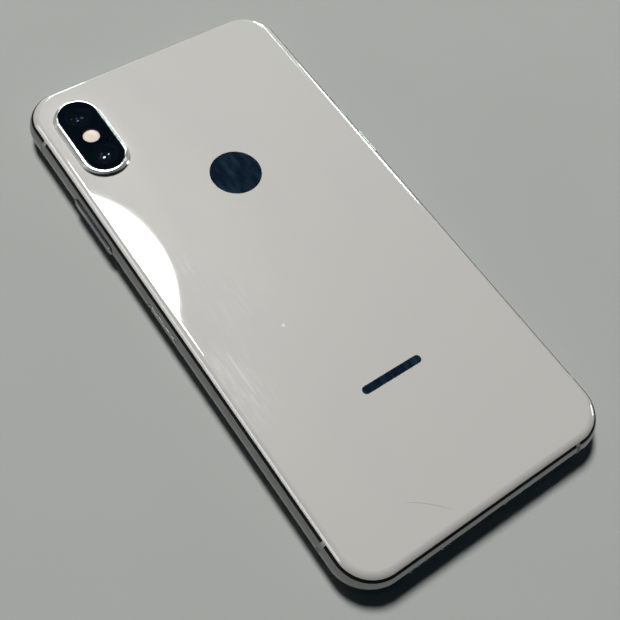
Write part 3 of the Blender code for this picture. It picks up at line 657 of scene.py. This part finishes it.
def build_band():
    """Six polished steel segments with their openings, parted by the antenna breaks."""
    below, above = SIDE_BREAK_Y
    far = None
    left = band_piece("left_rail", (far, 0), (-below, below))
    carve(
        left,
        face_mouth("side_button_mouth", *button_face("side_button"), -1),
        face_mouth("sim_mouth", SIM_LENGTH, SIM_HEIGHT, SIM_Y, -1),
    )
    finish_piece(left, SHADED_STEEL, "phone", "polished_steel", "band_left_rail")
    right = band_piece("right_rail", (0, far), (-below, below))
    centre = (SWITCH_Y, MID_Z)
    pocket = rounded(POCKET_LENGTH, POCKET_HEIGHT, POCKET_CORNER, centre, steps=8)
    stem_slot = rounded(STEM_SLOT_LENGTH, STEM_SLOT_HEIGHT, 0.4, centre, steps=4)
    carve(
        right,
        face_mouth("volume_up_mouth", *button_face("volume_up_button"), 1),
        face_mouth("volume_down_mouth", *button_face("volume_down_button"), 1),
        prism("switch_pocket", pocket, HALF_WIDTH - POCKET_DEPTH, HALF_WIDTH + PAST, "X"),
        prism("switch_slot", stem_slot, HALF_WIDTH - 4, HALF_WIDTH, "X"),
    )
    finish_piece(right, SHADED_STEEL, "phone", "polished_steel", "band_right_rail")
    corners = (far, TOP_BREAK_X[0]), (BOTTOM_BREAK_X[1], far)
    for name, x_range, y_range, node in (
        ("top_band", (TOP_BREAK_X[1], far), (above, far), "band_top"),
        ("top_left_corner", corners[0], (above, far), "band_corner_top_left"),
        ("bottom_right_corner", corners[1], (far, -above), "band_corner_bottom_right"),
    ):
        piece = band_piece(name, x_range, y_range)
        finish_piece(piece, SHADED_STEEL, "phone", "polished_steel", node)
    bottom = band_piece("bottom_band", (far, BOTTOM_BREAK_X[0]), (far, -above))
    carve(bottom, *bottom_cutters())
    finish_piece(bottom, SHADED_STEEL, "phone", "polished_steel", "band_bottom")


def bottom_cutters():
    """Cutters of the charging mouth, screw holes and sound holes."""
    depth, flare = 5, 0.2
    straight = slot(PORT_HEIGHT, PORT_WIDTH, (MID_Z, 0))
    flared = slot(PORT_HEIGHT + 2 * flare, PORT_WIDTH + 2 * flare, (MID_Z, 0))
    port = [
        (straight, -HALF_LENGTH + depth),
        (straight, -HALF_LENGTH + 0.4),
        (flared, -HALF_LENGTH + 0.1),
        (flared, -HALF_LENGTH - PAST),
    ]
    cutters = [loft("port_mouth", port, "Y")]
    for sx in (-1, 1):
        cutters.append(end_hole(f"screw_mouth_{sx + 1}", sx * SCREW_X, SCREW_MOUTH))
    for sx, count in ((-1, SPEAKER_HOLES), (1, MICROPHONE_HOLES)):
        for i in range(count):
            x = sx * (SOUND_HOLE_X + i * SOUND_HOLE_PITCH)
            cutters.append(end_hole(f"sound_mouth_{sx + 1}_{i}", x, SOUND_HOLE_RADIUS))
    return cutters


def break_boxes():
    """Where each antenna break lies in plan, as x and y ranges that reach past the band."""
    across, along = (30, 40), (60, 80)
    for sx in (-1, 1):
        for sy in (-1, 1):
            yield sorted(sx * x for x in across), sorted(sy * y for y in SIDE_BREAK_Y)
    yield TOP_BREAK_X, along
    yield BOTTOM_BREAK_X, sorted(-y for y in along)


def build_antenna_breaks():
    """Plastic inserts that cross the band, and the gasket above it, at six places."""
    places = [f"{side}_{end}" for side in ("left", "right") for end in ("bottom", "top")]
    places += ["top_edge", "bottom_edge"]
    for place, (x_range, y_range) in zip(places, break_boxes()):
        piece = band_piece(f"plastic_break_{place}", x_range, y_range, GLASS_LOW)
        finish_piece(piece, ANTENNA, "phone", "antenna_plastic", f"antenna_break_{place}")


def seal_ring(name, bottom, top):
    """Black gasket in the seam between the band and a glass. The rear one is taller than the real
    seal, and part of its black is a painted dark reflection of the steel's top.
    """
    profile = [(edge_inset(z) - GASKET_RISE, z) for z in edge_levels(bottom, top, 4)]
    profile += [(BAND_DEPTH, top), (BAND_DEPTH, bottom)]
    return loft(name, [(body_outline(inset), z) for inset, z in profile], closed=True)


# ---------------------------------------------------------------- glass
def build_back():
    """Back glass, whose edge curves down to the band, with the camera's opening."""
    sections = [(body_outline(edge_inset(z)), z) for z in edge_levels(GLASS_LOW, THICKNESS, 18)]
    glass = loft("rear_glass", sections)
    gap, flare = 0.05, 0.1
    straight = camera_slot(CAMERA_WIDTH + 2 * gap)
    flared = camera_slot(CAMERA_WIDTH + 2 * (gap + flare))
    hole = [
        (straight, THICKNESS - 3),
        (straight, THICKNESS - 0.06),
        (flared, THICKNESS + 0.04),
        (flared, THICKNESS + 2),
    ]
    carve(glass, loft("camera_mouth", hole))
    finish_piece(glass, BACK, "phone", "back_glass", "back_glass")
    # The rear gasket's tall black band is partly a painted dark reflection; the antenna breaks
    # cross it as they cross the steel's dark line.
    seal = seal_ring("rear_seal_and_dark_band", GASKET_LOW, GLASS_LOW)
    for i, (x_range, y_range) in enumerate(break_boxes()):
        gap = box(f"seal_gap_{i}", x_range, y_range, GASKET_LOW - PAST, GLASS_LOW + PAST)
        carve(seal, gap)
    finish_piece(seal, SEAL, "phone", "seal_rubber")


def build_marks():
    """A plain disc and bar of dark mirror film stand where the real back has its marks."""
    film_low, film_high = THICKNESS + 0.001, THICKNESS + 0.005
    disc = circle(BADGE_RADIUS, (0, BADGE_Y), 96)
    bar = slot(BAR_LENGTH, BAR_HEIGHT, (BAR_X, BAR_Y), 16)
    for name, outline in (("back_disc", disc), ("back_bar", bar)):
        mark = prism(name, outline, film_low, film_high)
        finish_piece(mark, INLAY, "phone", "black_glass")


def build_front():
    """Cover glass with its earpiece slot, and the seal between it and the band."""
    top = high("cover_glass")[2]
    sections = [(body_outline(edge_inset(z)), z) for z in edge_levels(0.0, top, 16)]
    glass = loft("front_glass", sections)
    carve(glass, prism("ear_mouth", slot(EAR_WIDTH, EAR_HEIGHT, (0, EAR_Y)), -PAST, 3))
    finish_piece(glass, SCREEN, "phone", "black_glass", "cover_glass")
    seal = seal_ring("front_seal", top, BAND_LOW)
    finish_piece(seal, SEAL, "phone", "seal_rubber", "display_gasket")


# ---------------------------------------------------------------- cameras
def build_camera_trim():
    """Polished ring round the cameras: a steep wall, and a narrow rim that slopes gently out."""
    lean, shoulder, slope, lip = 0.62, 0.14, 0.013, 0.1
    inner, foot = 1.1, 1.8  # how far the rim and the foot below the window reach inwards
    bottom, seat = low("camera_ring")[2], WINDOW_LOW - 0.05
    profile = [(0.0, bottom), (0.0, THICKNESS + 0.1)]
    for x, z in arc((0, 0), shoulder, 0, 84, 6):
        profile.append((lean + shoulder - x, CAMERA_TOP - slope - shoulder + z))
    for x, z in arc((0, 0), lip, 86, 15, 4):
        profile.append((inner - lip + x, CAMERA_TOP - lip + z))
    profile += [(inner, seat), (foot, seat), (foot, bottom)]
    sections = [(camera_slot(CAMERA_WIDTH - 2 * inset), z) for inset, z in profile]
    trim = loft("camera_trim", sections, closed=True)
    finish_piece(trim, LIT_TRIM, "phone", "polished_steel", "camera_ring")


def round_mouth(name, centre, radius, flare):
    """A cutter for a round opening in the camera cover."""
    profile = [(radius, WINDOW_LOW - PAST), (radius, WINDOW_HIGH - flare)]
    profile += [(radius + flare, WINDOW_HIGH), (radius + flare, WINDOW_HIGH + PAST)]
    return turned(name, profile, centre)


def lens_centre(lens):
    return middle(f"{lens}_lens")[:2]


def build_camera_cover():
    """Black cover with its openings, and the clear windows over the two lenses."""
    edge = 0.1
    outline = camera_slot(WINDOW_WIDTH)
    sections = [(outline, WINDOW_LOW), (outline, WINDOW_HIGH - edge)]
    for x, z in arc((0, 0), edge, 30, 90, 3):
        sections.append((camera_slot(WINDOW_WIDTH - 2 * (edge - x)), WINDOW_HIGH - edge + z))
    cover = loft("camera_cover", sections)
    carve(
        cover,
        round_mouth("wide_mouth", lens_centre("wide"), LENS_OPENING, 0.01),
        round_mouth("tele_mouth", lens_centre("tele"), LENS_OPENING, 0.01),
        round_mouth("flash_mouth", (CAMERA_X, CAMERA_Y), FLASH_RADIUS + 0.08, 0.05),
        round_mouth("microphone_mouth", (MIC_X, MIC_Y), MIC_RADIUS, 0.05),
    )
    finish_piece(cover, CAMERA_BLACK, "phone", "black_glass", "camera_window")
    pane_radius = LENS_OPENING - 0.02
    mask_low, mask_high = WINDOW_LOW - 0.1, WINDOW_LOW - 0.03
    for lens in ("wide", "tele"):
        profile = [(pane_radius, WINDOW_LOW + 0.1), (pane_radius, WINDOW_HIGH)]
        pane = turned(f"{lens}_pane", profile, lens_centre(lens), steps=96)
        finish_piece(pane, CLEAR, "phone", "lens_glass")
        baffle = [(4.0, mask_low), (4.0, mask_high), (2.6, mask_high), (2.5, mask_low)]
        mask = turned(f"{lens}_mask", baffle, lens_centre(lens), closed=True)
        finish_piece(mask, BARREL, "phone", "black_plastic")


def dome(radius, bottom, rim, sag):
    """Profile of a round pane with a straight side, whose front bulges by a sag."""
    profile = [(radius, bottom), (radius, rim)]
    for i in range(1, 9):
        share = cos(radians(90 * i / 8.5))
        profile.append((radius * share, rim + sag * (1 - share**2)))
    return profile


def build_lenses():
    """Each lens is a stepped black barrel with a domed and coated front element."""
    for lens, glass_radius, sag, material in (
        ("wide", 1.9, 0.55, LENS),
        ("tele", 1.5, 0.25, TELE_LENS),
    ):
        centre = lens_centre(lens)
        bottom, top = low(f"{lens}_lens")[2], high(f"{lens}_lens")[2]
        profile = [(BARREL_RADIUS, bottom), (BARREL_RADIUS, 5.7), (BARREL_NECK, 5.8)]
        profile += [(BARREL_NECK, top - 0.08), (BARREL_NECK - 0.08, top)]
        profile += [(2.5, top), (2.42, top - 0.3), (2.15, top - 0.34), (2.05, top - 0.7)]
        profile += [(glass_radius + 0.04, top - 0.74), (glass_radius, bottom)]
        barrel = turned(f"{lens}_barrel", profile, centre, closed=True)
        finish_piece(barrel, BARREL, f"{lens}_lens", "black_plastic", f"{lens}_lens")
        rim = top - sag - 0.1
        element = turned(f"{lens}_element", dome(glass_radius, rim - 0.4, rim, sag), centre)
        finish_piece(element, material, f"{lens}_lens", "lens_glass", sharp=60)


def build_flash():
    """The milky dome between the lenses."""
    profile = dome(FLASH_RADIUS, low("flash_unit")[2], WINDOW_HIGH - FLASH_DEPTH, FLASH_SAG)
    flash = turned("flash_dome", profile, (CAMERA_X, CAMERA_Y))
    finish_piece(flash, FLASH, "phone", "flash_lens", "flash_unit", sharp=60)


# ---------------------------------------------------------------- side controls and tray
def build_buttons():
    """Capsule faces with leaning sides and chamfered edges, and the flange behind each."""
    step, lean, chamfer = 0.05, 0.13, 0.3  # how far each stage draws the outline in
    lean_depth, chamfer_depth = 0.7, 0.25  # where the leaning side and the chamfer start
    flange_back, flange_front = 3.35, 2.85
    for node, side in BUTTONS.items():
        length, height, y = button_face(node)
        outer = max(-low(node)[0], high(node)[0])
        flange = face_outline(length + 2 * FLANGE_END, height + 2 * FLANGE_SIDE, y)
        sections = [(flange, side * (outer - depth)) for depth in (flange_back, flange_front)]
        sections.append((face_outline(length, height, y), side * (outer - flange_front)))
        for inset, depth in (
            (0, lean_depth),
            (step, lean_depth),
            (step + lean, chamfer_depth),
            (step + lean + chamfer, 0),
        ):
            sections.append((face_outline(length, height, y, -inset), side * (outer - depth)))
        cap = loft(node.replace("_button", "_key"), sections, "X")
        finish_piece(cap, SHADED_STEEL, node, "polished_steel", node)


def build_ring_switch():
    """A rounded cap with a groove along it, on a black stem."""
    centre = middle("ring_switch")[1:]
    inner, outer = low("ring_switch")[0], high("ring_switch")[0]
    sections = [(slot(SWITCH_LENGTH, SWITCH_HEIGHT, centre), outer - SWITCH_CAP)]
    for x, rise in arc((0, 0), SWITCH_ROUNDING, 0, 90, 5):
        inset = SWITCH_ROUNDING - x
        outline = slot(SWITCH_LENGTH - 2 * inset, SWITCH_HEIGHT - 2 * inset, centre)
        sections.append((outline, outer - SWITCH_ROUNDING + rise))
    cap = loft("switch_cap", sections, "X")
    groove = rounded(3.4, 0.35, 0.17, centre, steps=6)
    carve(cap, prism("switch_groove", groove, outer - 0.12, outer + PAST, "X"))
    finish_piece(cap, SHADED_STEEL, "ring_switch", "polished_steel", "ring_switch")
    outline = rounded(STEM_LENGTH, STEM_HEIGHT, 0.3, centre, steps=4)
    stem = prism("switch_stem", outline, inner, outer - SWITCH_CAP + 0.05, "X")
    finish_piece(stem, BLACK_PLASTIC, "ring_switch", "black_plastic")


def build_sim_tray():
    """Tray face cut from the band's own form, with the card's frame behind it."""
    edge = -HALF_WIDTH
    face = band_solid("tray_face")
    outline = face_outline(SIM_LENGTH, SIM_HEIGHT, SIM_Y)
    limit = prism("tray_limit", outline, edge - 2, edge + 1.25, "X")
    carve(face, limit, operation="INTERSECT")
    pin = [(0.45, edge + 3), (0.45, edge + 0.25), (0.55, edge - PAST)]
    carve(face, turned("pin_mouth", pin, (SIM_PIN_Y, MID_Z), "X", steps=32))
    finish_piece(face, SHADED_STEEL, "sim_tray", "polished_steel", "sim_tray")
    x_range = (edge + 1.2, high("sim_tray")[0])
    bottom, top = SIM_FRAME_Z
    width, length = x_range[1] - x_range[0], SIM_FRAME_Y[1] - SIM_FRAME_Y[0]
    centre = (sum(x_range) / 2, sum(SIM_FRAME_Y) / 2)
    seat_width, seat_length, ledge = width - 1.9, length - 0.9, 0.5
    seat = rounded(seat_width, seat_length, 0.5, centre, 6)
    window = rounded(seat_width - 2 * ledge, seat_length - 2 * ledge, 0.5, centre, 6)
    holder = prism("tray_frame", rounded(width, length, 0.7, centre, 6), bottom, top)
    carve(
        holder,
        prism("card_seat", seat, bottom + 0.33, top + PAST),
        prism("card_window", window, bottom - PAST, top),
    )
    finish_piece(holder, SATIN, "sim_tray", "satin_steel")


# ---------------------------------------------------------------- bottom end
def build_bottom_end():
    """Screws with a plain hexagonal drive, and the charging socket with its contacts."""
    face = low("bottom_screw_right")[1]
    for side, sx in (("left", -1), ("right", 1)):
        centre = (MID_Z, sx * SCREW_X)
        profile = [(SCREW_NECK, face + 4.3), (SCREW_NECK, face + 0.6), (SCREW_HEAD, face + 0.6)]
        profile += [(SCREW_HEAD, face + 0.1), (SCREW_HEAD - 0.09, face)]
        screw = turned(f"end_screw_{side}", profile, centre, "Y", 40)
        drive = circle(DRIVE_RADIUS, centre, 6)
        carve(screw, prism(f"drive_{side}", drive, face - PAST, face + 0.3, "Y"))
        finish_piece(screw, SATIN, "phone", "satin_steel", f"bottom_screw_{side}")
    mouth, back = low("charging_port")[1], high("charging_port")[1]
    flare = 0.15
    inner = slot(SOCKET_HEIGHT, SOCKET_WIDTH, (MID_Z, 0))
    lead_in = slot(SOCKET_HEIGHT + 2 * flare, SOCKET_WIDTH + 2 * flare, (MID_Z, 0))
    outer = rounded(SHELL_HEIGHT, SHELL_WIDTH, SHELL_CORNER, (MID_Z, 0), 14)
    shell = [(outer, mouth), (outer, back), (inner, back), (inner, mouth + 0.5)]
    socket = loft("port_shell", shell + [(lead_in, mouth)], "Y", closed=True)
    plug = prism("port_back", inner, back - 1, back - 0.01, "Y")
    finish_piece(socket, SATIN, "phone", "satin_steel", "charging_port")
    finish_piece(plug, BLACK_PLASTIC, "phone", "black_plastic")
    pad_width, pad_height = 0.4, 0.12
    pad_z = MID_Z - SOCKET_HEIGHT / 2 + pad_height / 2
    for i in range(CONTACTS):
        x = (i - (CONTACTS - 1) / 2) * CONTACT_PITCH
        pad = rounded(pad_height, pad_width, 0.05, (pad_z, x), 4)
        contact = prism(f"port_contact_{i + 1}", pad, mouth + 1.2, mouth + 5, "Y")
        finish_piece(contact, GOLD, "phone", "copper")


# ---------------------------------------------------------------- inner pieces
def dress_inner_nodes():
    """Every CAD node that stays gets the material of its slot."""
    looks = {
        "satin_steel": SATIN,
        "black_glass": SCREEN,
        "black_plastic": BLACK_PLASTIC,
        "circuit_board": BOARD,
        "copper": COPPER,
        "battery_wrap": BATTERY,
        "tungsten": TUNGSTEN,
        "seal_rubber": SEAL,
        "polished_steel": SHADED_STEEL,
        "back_glass": BACK,
        "lens_glass": LENS,
        "antenna_plastic": ANTENNA,
        "flash_lens": FLASH,
    }
    slots = {part["node"]: part["material_slot"] for part in frame["record"]["subparts"]}
    for node, obj in frame["nodes"].items():
        for holder in obj.material_slots:
            holder.material = looks[slots[node]]


# ---------------------------------------------------------------- studio
VIEW_FROM, VIEW_AT = (-83.75, -87.29, 192.07), (-6.51, -13.45, 7.7)
VIEW_ROLL, FOCAL_LENGTH = radians(12.91), 55.36
LAMP_PLACE, LAMP_SIZE, LAMP_RADIANCE = (325, 1274, 2273), 686, 61
PANEL_DISTANCE, FILL_DISTANCE = 1600, 1800
PANEL_RADIANCE, PANEL_COLOUR = 13, (0.78, 1, 0.94)
PER_DEGREE = 28  # millimetres in a degree at the panels' distance
DUSK_RISE = (0.1, 0.7, 0.01, 0.06)  # how high a direction points, and how bright the room is there
DUSK_BLUE = (0.5, 0.95, 1.4)
MATT_SHARE = 0.3  # how much of the room's light a matt surface gets
BEHIND_FLOOR = (0.5, 0.5, 0.5, 1)


def aim(obj, place, target, roll=0.0):
    """Points an object's -Z axis from a place at a target, both in millimetres."""
    direction = (Vector(target) - Vector(place)).normalized()
    turn = direction.to_track_quat("-Z", "Y").to_matrix().to_4x4()
    moved = Matrix.Translation(Vector(place) * MM)
    obj.matrix_world = moved @ turn @ Matrix.Rotation(roll, 4, "Z")


def lamp(name, shape, size, radiance, place, colour=(1, 1, 1), fills=True):
    """An area light aimed at the phone. Its power follows from its size and radiance."""
    data = bpy.data.lights.new(name, "AREA")
    data.shape = shape
    data.size, data.size_y = (length * MM for length in size)
    area = data.size * data.size_y * (pi / 4 if shape in ("DISK", "ELLIPSE") else 1)
    data.energy = radiance * pi * area
    data.color = colour
    obj = bpy.data.objects.new(name, data)
    bpy.context.scene.collection.objects.link(obj)
    aim(obj, place, (0, 0, 0))
    obj.visible_camera = False
    obj.visible_diffuse = fills


def build_floor():
    """A plain pale matt floor."""
    thickness = 20
    finish = Finish("floor", (0.42, 0.435, 0.42), 0.9, 0.0, {"Specular IOR Level": 0.0})
    mottle = finish.noise(0.02, detail=3)
    finish.tint(finish.fit(mottle, 0.35, 0.75, 0.0, 0.3), (0.39, 0.405, 0.39))
    finish.bump(finish.noise(1.0, detail=4), 0.02, 0.3)
    reach = (-FLOOR_REACH, FLOOR_REACH)
    floor = box("floor", reach, reach, -thickness, 0)
    floor.data.materials.append(finish.material)


def build_world():
    """A dim bluish room, black at the horizon, that shows as plain grey behind the floor."""
    world = bpy.data.worlds.new("studio")
    world.use_nodes = True
    bpy.context.scene.world = world
    tree = world.node_tree

    def product(a, b):
        return add_node(
            tree, "ShaderNodeVectorMath", {0: a, 1: b}, operation="MULTIPLY"
        ).outputs["Vector"]

    seen = add_node(tree, "ShaderNodeLightPath").outputs
    direction = add_node(tree, "ShaderNodeTexCoord").outputs["Generated"]
    up = add_node(tree, "ShaderNodeSeparateXYZ", {"Vector": direction}).outputs["Z"]
    dusk = product(map_range(tree, up, *DUSK_RISE), DUSK_BLUE)
    share = map_range(tree, seen["Is Diffuse Ray"], 0.0, 1.0, 1.0, MATT_SHARE)
    shown = add_node(
        tree,
        "ShaderNodeMix",
        {"Factor": seen["Is Camera Ray"], "A": product(dusk, share), "B": BEHIND_FLOOR},
        data_type="RGBA",
    )
    tree.links.new(shown.outputs["Result"], tree.nodes["Background"].inputs["Color"])


def around(azimuth, elevation, distance):
    """A place at a distance from the phone. Azimuth turns from +X towards +Y."""
    a, e = radians(azimuth), radians(elevation)
    return (distance * cos(a) * cos(e), distance * sin(a) * cos(e), distance * sin(e))


def build_lights():
    """A round lamp whose mirror image lies on the back glass, and low panels that only show as
    lines of light along the edges."""
    warm = (1, 0.985, 0.96)
    lamp("round_lamp", "DISK", (LAMP_SIZE, LAMP_SIZE), LAMP_RADIANCE, LAMP_PLACE, colour=warm)
    panels = [("panel_right", "ELLIPSE", (340, 950), 27, 8)]
    panels.append(("panel_corner", "RECTANGLE", (200, 1480), 47, 15.5))
    bottom, width, azimuth, gap = -8, 52, 80.6, 1.9
    for i, top in enumerate((38, 26, 12)):
        size, elevation = (width, PER_DEGREE * (top - bottom)), (top + bottom) / 2
        panels.append((f"panel_left_{i}", "RECTANGLE", size, azimuth - gap * i, elevation))
    panels.append(("panel_low", "RECTANGLE", (300, 450), -14, 7))
    for name, shape, size, azimuth, elevation in panels:
        place = around(azimuth, elevation, PANEL_DISTANCE)
        lamp(name, shape, size, PANEL_RADIANCE, place, colour=PANEL_COLOUR, fills=False)
    fill, line = around(150, 22, FILL_DISTANCE), around(149, 41, FILL_DISTANCE)
    lamp("side_fill", "RECTANGLE", (1500, 1100), 1.5, fill, fills=False)
    lamp("edge_line", "RECTANGLE", (1500, 400), 6.0, line, fills=False)


def build_camera():
    """Looks down from over the corner between the -X side and the bottom end."""
    data = bpy.data.cameras.new("camera")
    data.sensor_width = 36
    data.lens = FOCAL_LENGTH
    data.clip_start, data.clip_end = 0.01, 50
    camera = bpy.data.objects.new("camera", data)
    bpy.context.scene.collection.objects.link(camera)
    aim(camera, VIEW_FROM, VIEW_AT, VIEW_ROLL)
    bpy.context.scene.camera = camera
    bpy.context.scene.view_settings.view_transform = "Standard"


build_band()
build_antenna_breaks()
build_back()
build_marks()
build_front()
build_camera_trim()
build_camera_cover()
build_lenses()
build_flash()
build_buttons()
build_ring_switch()
build_sim_tray()
build_bottom_end()
dress_inner_nodes()
build_floor()
build_world()
build_lights()
build_camera()
